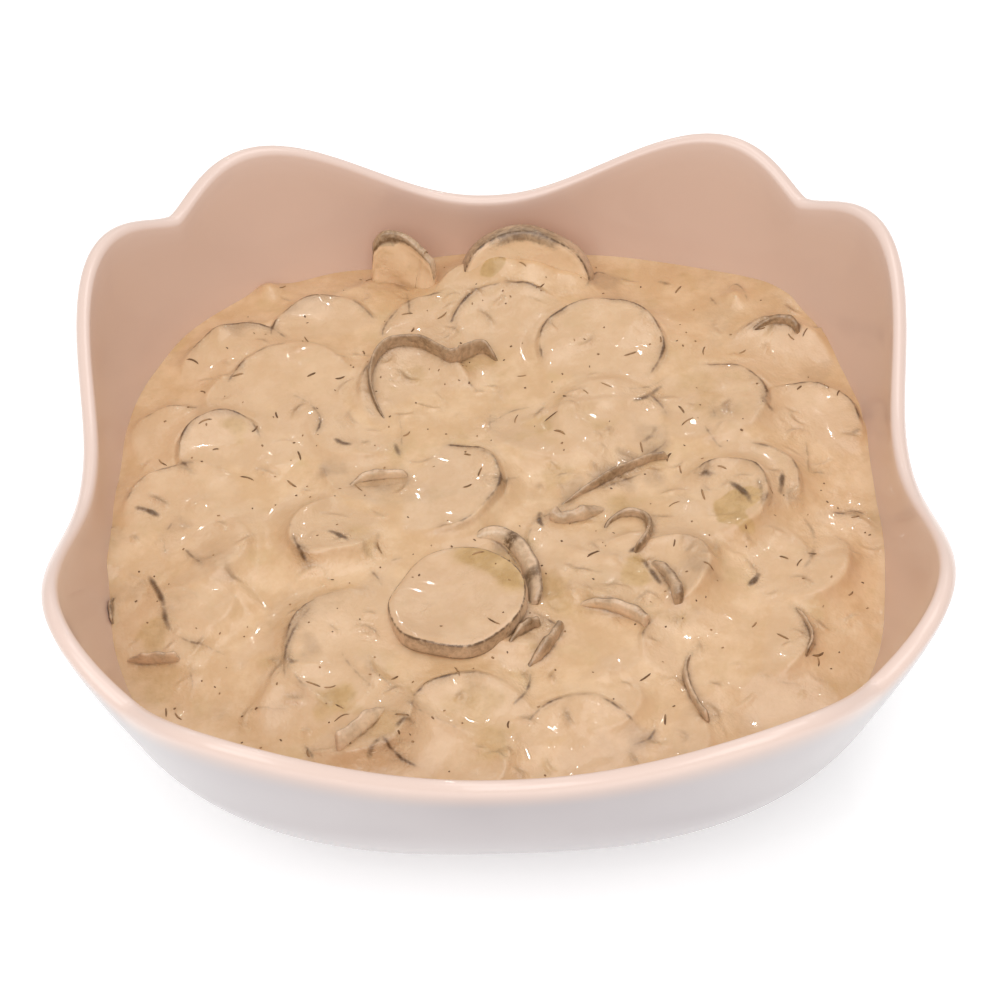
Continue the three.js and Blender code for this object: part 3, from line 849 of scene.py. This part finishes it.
def slices_piece(material):
    """The slices that stand clear of the cream, in one mesh."""
    angle = np.arange(SLICE_STEPS) / SLICE_STEPS * 2 * pi
    grids = []
    for number in STANDING:
        disc = LISTED[number]
        share, out, skin, line = slice_section(disc).T[..., None]
        dark = disc.dark + 0.2 * np.sin(2 * angle + number) + 0.2 * np.sin(5 * angle)
        if number == HERO:
            # Olive flesh on the big slice's face near its rim, partly painted shade of the hollow there.
            near_turn = np.exp(-((np.cos(angle - BARE_TURN) - 1) / 0.3) ** 2)
            bare_flesh_and_painted_shade = 1.3 * smooth_step(share, 0.5, 0.8) * (out > 0) * near_turn
            band = pale_tone_and_painted_light = 0
        else:
            bare_flesh_and_painted_shade = 0.3 * np.sin(3 * angle + 1) ** 2 * smooth_step(share, 0.1, 0.5) * (skin == 0)
            band = np.exp(-((angle - pi) / 0.6) ** 4) * smooth_step(share, 0.84, 0.88) * (out > 0)
            # Painted light: the upright slice's face, off its band of peel, is painted paler.
            pale_tone_and_painted_light = (skin == 0) * (1 - band)
        skin = np.maximum(skin * (0.85 + 0.15 * np.sin(7 * angle + number)), band)
        place = on_slice(disc, angle, share, out)
        grids.append(stacked(*place, skin, line, dark + 0.6 * band, bare_flesh_and_painted_shade, pale_tone_and_painted_light))
    cucumber_piece("cucumber_slices_dressed", grids, material)


# Round a peel edge's section: sideways in half thicknesses, share of its height, and how dark.
PEEL_SECTION = np.array([
    (1.05, 0.3, 0.2), (1.0, 0.62, 0.8), (0.85, 0.84, 0.9), (0.5, 0.97, 0.9), (0, 1.0, 0.3), (-0.5, 0.97, 0.5),
    (-0.85, 0.84, 0.9), (-1.0, 0.62, 0.8), (-1.05, 0.3, 0.2), (-1.0, -0.25, 0), (0, -0.5, 0), (1.0, -0.25, 0),
])


def leftward(x, y):
    """Unit direction to the left of the way a path runs, at each of its places."""
    along = np.gradient(x), np.gradient(y)
    return np.stack([-along[1], along[0]]) / np.hypot(*along)


def peel_path(pixels, surface, raised):
    """Plan places along a strip, the share of the way, the strip's fullness and its left there.

    The strip swells from a tapered end, as a power of the way along, and ends round."""
    count = 12 + 5 * len(pixels)
    x, y = on_salad(curve_through(pixels, count), surface, raised)
    t = np.linspace(0, 1, count)
    full = np.minimum((t / 0.4) ** 0.6, 1) * np.clip((1 - t) / 0.07, 0, 1) ** 0.5
    return x, y, t, full, leftward(x, y)


def peel_piece(surface, material):
    """Strips of peel that stand on edge: a thin rounded section carried along each path."""
    grids = []
    sideways, up, line = PEEL_SECTION.T
    cover = np.where(up < 0.5, 0.7, 0.95)
    crest = crests(surface, 3)
    for number, (height, thick, dark, tilt, *pixels) in enumerate(PEEL_EDGES):
        x, y, t, full, left = peel_path(pixels, crest, height / 2 - 0.3)
        base = blurred_along(read_field(crest, x, y)) - 0.4
        x, y, t, full, left, base = (part[..., None] for part in (x, y, t, full, left, base))
        uneven = 1 + 0.1 * np.sin(9 * t + number) + 0.06 * np.sin(25 * t + 2 * number)
        offset = thick / 2 * np.maximum(full, 0.001) ** 0.5 * uneven * sideways
        offset = offset + tilt * full * np.maximum(up, 0)
        place = kept_inside(x + left[0] * offset, y + left[1] * offset,
                            base + 1.15 * height * full * uneven * up - (1 - full) * 1.3)
        edge = line * np.where(sideways * left[1].mean() > 0, 0.9, 0.15)
        segment = np.exp(-((t - 0.4) / 0.06) ** 4) + 0.8 * np.exp(-((t - 0.8) / 0.05) ** 4)
        wander = np.clip(dark + 0.25 * np.sin(14 * t + 2 * number), 0, 1)
        # Painted light: the sides of each strip are painted paler, the less so the darker the strip.
        pale_tone_and_painted_light = (up < 0.95) * max(0, 1 - 1.6 * dark)
        edge = np.maximum(edge, segment * (number == SEGMENTED))
        grids.append(stacked(*place, cover, edge, wander, 0, pale_tone_and_painted_light))
    cucumber_piece("cucumber_peel_edges", grids, material)


def folded_piece(surface, material):
    """A slice folded double: a thick wall with a falling, rounded top edge of peel, whose flesh face
    bulges and dents in slow waves."""
    count, sides = 60, 40
    blunt = lambda wave: np.sign(wave) * np.abs(wave) ** 0.5
    tall = curve_through(stacked(FOLDED_HEIGHTS, 0), count)[:, 0]
    x, y = on_salad(curve_through(FOLDED_PIXELS, count), surface, tall / 2)
    base = read_field(surface, x, y) - 1.5
    x, y, left, base, tall = (part[..., None] for part in (x, y, leftward(x, y), base, tall + 1.5))
    t = np.linspace(0, 1, count)[:, None]
    turn = np.arange(sides) / sides * 2 * pi
    round_end = np.clip(np.minimum(t, 1 - t) / 0.06, 0, 1) ** 0.5
    share = 0.5 + 0.56 * blunt(np.sin(turn))
    bulge = 0.9 * np.sin(7 * t + 3 * share) * np.sin(pi * np.clip(share, 0, 1)) + 2.2 * (share - 0.4)
    half_thick = (1.9 - 0.5 * share) * np.maximum(round_end, 0.02)
    sideways = half_thick * blunt(np.cos(turn)) + bulge * round_end
    place = kept_inside(x + left[0] * sideways, y + left[1] * sideways,
                        base + tall * np.maximum(round_end, 0.3) * share)
    top = smooth_step(share + 0.12 * np.exp(-((t - 0.3) / 0.2) ** 2), 0.93, 1.0)
    edge = np.exp(-((share - 0.95) / 0.05) ** 2)
    thin_cream = 0.4 * np.sin(5 * t + 9 * share) ** 2 * (share < 0.85)
    # The last value is painted light: the upright face below the top edge is painted paler.
    grid = stacked(*place, top, edge, 1.1 - 0.7 * t, thin_cream, share < 0.9)
    cucumber_piece("cucumber_folded_slice", [grid], material)


def blurred_along(values):
    """A run of values, each averaged with four neighbours."""
    return np.convolve(np.pad(values, 2, mode="edge"), np.ones(5) / 5, mode="valid")


# ---- The cream ----

def draped_cream():
    """Height of the smooth cream, how far a slice's face lies just under it, and the rims' strokes.

    The level and the sunken slices' faces make one surface. Hollows beside a step are filled by
    smoothing it at falling sizes and keeping the higher. Rims that show stay sharp."""
    draped = [s for i, s in enumerate(LISTED) if i not in (*STANDING, *DEEP)] + ghost_slices()
    level = cream_level(field_x, field_y)
    for tall, size in LEVEL_LUMPS:
        level = level + tall * lumps(size)
    gap = (1 - wall_share(field_x, field_y, CREAM_EDGE)) * CREAM_HALF
    level = level + np.exp(-np.maximum(gap, 0) / 3.0) * (1.0 + 0.6 * lumps(9))
    for radius, tall, *pixel in WALL_DABS:
        x, y = seen_at(pixel, CREAM_MIDDLE)
        level = level + tall * np.exp(-((np.hypot(field_x - x, field_y - y) / radius) ** 2))
    hero = LISTED[HERO]
    bed = hero._replace(wide=hero.wide - 3, lift=hero.lift - hero.thick + 0.9)
    top = slice_tops([*draped, bed]) + FILM
    level = level + 0.5
    sharp = level + np.maximum(top + 0.3 * lumps(4.5) + 0.18 * lumps(2) - level, 0) * STEP_SHARE
    filled = sharp
    for size in FILL_SIZES:
        filled = np.maximum(filled, blurred(filled, size))
    rims = rim_strokes(draped, filled)
    height = blurred(sharp + (filled - sharp) * (1 - 0.75 * drawn(rims, 1.2)), 0.42)
    soft = 0.75 * (1 - np.clip(1.5 * drawn(rims, 2.2), 0, 1))
    height = height + (blurred(filled, 1.4) - height) * soft
    return height, blurred((top > level + 0.2).astype(float), 0.6), rims


def line_strokes(lines, crest):
    """A stroke along each dark line's pixels."""
    return [(*on_salad(curve_through(pixels, 400), crest), dark * fading(400, number))
            for number, (dark, *pixels) in enumerate(lines)]


def cream_surface():
    """Height of the cream, and what shows through it or is painted shade on it: a field for each painted
    name.

    Rims, dark lines and the feet of the strips of peel are drawn on the smooth cream. Folds stand up
    from it, with a hollow behind each that is also painted darker, as painted shade."""
    height, face, fine_strokes = draped_cream()
    crest = crests(height, 2)
    fine_strokes = fine_strokes + line_strokes(FINE_LINES, crest)
    broad_strokes = line_strokes(BROAD_LINES, crest)
    crest = crests(height, 3)
    dense = np.linspace(0, 1, 900)
    for tall, thick, _, _, *pixels in PEEL_EDGES:
        x, y, t, full, left = peel_path(pixels, crest, tall / 2 - 0.3)
        for side in (-1, 1):
            offset = side * (thick / 2 * full + 0.25)
            fine_strokes.append((np.interp(dense, t, x + left[0] * offset),
                                 np.interp(dense, t, y + left[1] * offset), 0.6 * fading(900, tall)))
    runs = [row[4:] for row in PEEL_EDGES] + [row[1:] for row in FINE_LINES + BROAD_LINES]
    folds = ruffles(np.concatenate([stacked(*on_salad(pixels, height)) for pixels in runs]))
    long_folds = [(*on_salad(curve_through(pixels, 500), height), fading(500, 1)) for pixels in FOLD_LINES]
    fold = drawn(folds, 0.6)
    hollow = drawn([(x, y + 0.9, strength) for x, y, strength in folds], 0.7)
    height = height + 0.85 * fold - 0.5 * hollow + 1.1 * drawn(long_folds, 1.5)
    fine_strokes += [(x, y, 0.4 * strength) for x, y, strength in folds[::3]]
    fine, broad = drawn(fine_strokes, 0.3), drawn(broad_strokes, 0.65)
    height = height + 0.2 * fine + 0.25 * broad + 0.1 * lumps(1.4) * smooth_step(lumps(7), 0.2, 1.4)
    # Olive spots, some of them painted shade in hollows.
    bare_flesh_and_painted_shade = spots(BARE_PLACES, height)
    # Grey spots of peel under the cream, and halos beside the lines: partly peel seen through, partly painted
    # shade.
    peel_grey_and_painted_shade = spots(GREY_PLACES, height) + 0.55 * drawn(fine_strokes, 1.1) + 0.6 * blurred(fine + broad, 1.4)
    # Painted shade: the hollow behind each fold is painted grey; slow random grey patches too.
    peel_grey_and_painted_shade = peel_grey_and_painted_shade + 0.45 * hollow + 0.25 * smooth_step(lumps(5), 1.0, 2.2)
    lively = 0.05 + 1.3 * blurred(fine + broad + 0.6 * fold, 1.6)
    return height, {"face": face, "bare_flesh_and_painted_shade": bare_flesh_and_painted_shade, "peel_grey_and_painted_shade": np.clip(peel_grey_and_painted_shade, 0, 1),
                    "line": np.maximum(fine, broad), "lively": np.clip(lively, 0, 1)}


def cream_grid():
    """Plan places of the cream's vertices: squares that round off towards the wall, reaching half a
    millimetre into it so that no gap shows."""
    side = np.linspace(-1, 1, CREAM_CELLS + 1)
    a, b = np.meshgrid(side, side)
    ring = np.maximum(np.abs(a), np.abs(b))
    angle = np.arctan2(b, a)
    power = squareness(CREAM_EDGE) / np.maximum(ring, 0.12) ** 1.5
    reach = ring * (inner_half(CREAM_EDGE) + 0.5) * rounded_square(angle, power)
    return reach * np.cos(angle), reach * np.sin(angle), ring


def cream_piece(name, rows, columns, height, shown, material):
    """A quarter of the cream as a closed body: the surface, a skirt down to a flat bottom."""
    x, y, ring = (plan[rows, columns] for plan in cream_grid())
    flare = 1 + ring ** 12 * (inner_half(read_field(height, x, y)) / inner_half(CREAM_EDGE) - 1)
    x, y = x * flare, y * flare
    top = stacked(x, y, read_field(height, x, y)).reshape(-1, 3)
    index = np.arange(x.size).reshape(x.shape)
    quads = stacked(index[:-1, :-1], index[:-1, 1:], index[1:, 1:], index[1:, :-1]).reshape(-1, 4)
    edge = np.concatenate([index[0, :-1], index[:-1, -1], index[-1, :0:-1], index[:0:-1, 0]])
    skirt_z = CREAM_EDGE - SKIRT_DEPTH
    shrink = inner_half(skirt_z) / inner_half(CREAM_EDGE)
    skirt = top[edge] * (shrink, shrink, 0) + (0, 0, skirt_z)
    low = x.size + np.arange(len(edge))
    walls = stacked(edge, low, np.roll(low, -1), np.roll(edge, -1))
    bottom = stacked(np.roll(low, -1), low, x.size + len(edge))
    points = np.concatenate([top, skirt, skirt.mean(axis=0, keepdims=True)])
    piece = new_piece(name, points, [quads, walls, bottom], material)
    hidden = np.zeros(len(edge) + 1)
    for layer, field in shown.items():
        paint(piece, layer, np.concatenate([read_field(field, x, y).ravel(), hidden]))
    slope = [read_field(-part, x, y) for part in np.gradient(height, FIELD_CELL)]
    normal = stacked(slope[1], slope[0], 1.0).reshape(-1, 3)
    normal = normal / np.linalg.norm(normal, axis=-1, keepdims=True)
    piece.data.normals_split_custom_set_from_vertices(
        np.concatenate([normal, np.zeros((len(edge) + 1, 3))]).tolist())
    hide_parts("dill_cream", "cucumber_slices")


# ---- Dill ----

def scattered(count):
    """Random places within the bowl, clear of the wall."""
    places = draw.uniform(-108, 108, (count * 2, 2))
    return places[wall_share(*places.T, CREAM_EDGE) < SCATTER_REACH][:count]


def slivers_piece(name, surface, material, count, length, width, bend):
    """Thin pointed slivers that lie along the surface: five-sided spindles of seven rings, each
    bent in an arc, with a random length and direction."""
    rings, sides = 7, 5
    places = scattered(count)
    pick = lambda low, high: draw.uniform(low, high, (len(places), 1, 1))
    long, wide = pick(*length), pick(*width)
    heading, arc = pick(0, 2 * pi), pick(-bend, bend)
    t = np.linspace(-1, 1, rings)[:, None]
    turn = np.arange(sides) / sides * 2 * pi
    girth = wide / 2 * np.maximum(1 - t ** 4, 0) ** 0.5
    sideways = arc * long / 2 * (t ** 2 - 0.3) + girth * np.cos(turn)
    x, y = places.T[..., None, None] + rotated(long / 2 * t, sideways, heading)
    z = read_field(surface, x, y) + 0.02 + girth * np.sin(turn)
    piece = turned_piece(name, stacked(x, y, z), (), material)


# ---- Stage, lights and camera ----

# The middle of the salad, and the small lamps that the glints are reflections of, in metres.
SALAD = (0, 0, 0.05)
GLINT_LAMPS = [(0.32, 1.15, 0.78), (-0.32, 1.15, 0.78), (0.41, 0.96, 0.98), (-0.45, 0.92, 0.98),
               (0.33, 0.63, 1.25), (0.0, 0.46, 1.37), (-0.35, -0.75, 1.3)]


def add_floor(material):
    mesh = bpy.data.meshes.new("floor")
    half = 4.0
    mesh.from_pydata([(-half, -half, 0), (half, -half, 0), (half, half, 0), (-half, half, 0)], [],
                     [(0, 1, 2, 3)])
    mesh.materials.append(material)
    floor = placed("floor", mesh)


def add_light(name, place, size, power):
    """A square area light at a place, in metres, facing the salad."""
    data = bpy.data.lights.new(name, "AREA")
    data.size, data.energy = size, power
    lamp = placed(name, data)
    lamp.location = place
    lamp.rotation_euler = (Vector(SALAD) - Vector(place)).to_track_quat("-Z", "Y").to_euler()


def add_camera():
    """The photograph's view: from the front, 46.6 degrees above the table, with a slight roll."""
    distance = CAMERA_DISTANCE * MM
    data = bpy.data.cameras.new("camera")
    data.sensor_width = 36
    data.lens = 36 * FOCAL_PIXELS / 1000
    data.shift_x, data.shift_y = 0.5 - MIDDLE_PIXEL[0] / 1000, MIDDLE_PIXEL[1] / 1000 - 0.5
    camera = placed("camera", data)
    camera.location = (0, -distance * cos(ELEVATION), AIM_HEIGHT * MM + distance * sin(ELEVATION))
    upright = Euler((pi / 2 - ELEVATION, 0, 0)).to_matrix()
    camera.rotation_euler = (upright @ Euler((0, 0, -ROLL)).to_matrix()).to_euler()
    bpy.context.scene.camera = camera


def add_world():
    world = bpy.data.worlds.new("studio")
    world.use_nodes = True
    background = world.node_tree.nodes["Background"]
    background.inputs["Color"].default_value = (1, 1, 1, 1)
    background.inputs["Strength"].default_value = 0.57
    bpy.context.scene.world = world


# ---- The scene ----

scene = bpy.context.scene
scene.view_settings.view_transform = "Standard"

add_camera()
bowl_piece(glaze_finish())
salad, shown = cream_surface()
cream = cream_finish()
lower, upper = slice(0, CREAM_CELLS // 2 + 1), slice(CREAM_CELLS // 2, CREAM_CELLS + 1)
for depth, rows in (("front", lower), ("back", upper)):
    for side, columns in (("left", lower), ("right", upper)):
        cream_piece(f"dill_cream_{depth}_{side}", rows, columns, salad, shown, cream)
cucumber = cucumber_finish()
slices_piece(cucumber)
peel_piece(salad, cucumber)
folded_piece(salad, cucumber)
covered = np.maximum(salad, slice_tops([LISTED[n] for n in STANDING]) + FILM)
dill = dill_finish()
slivers_piece("dill_needles", covered, dill, count=90, length=(2.0, 4.8), width=(0.4, 0.65), bend=0.25)
slivers_piece("dill_specks", covered, dill, count=260, length=(0.4, 1.0), width=(0.3, 0.6), bend=0.2)

add_floor(floor_finish())
add_world()
add_light("soft_front", (-0.2, -0.9, 1.2), size=1.3, power=10.2)
add_light("soft_top", (0.25, 0.15, 1.5), size=0.8, power=3.8)
for number, place in enumerate(GLINT_LAMPS):
    add_light(f"lamp_{number}", place, size=0.016, power=0.4)
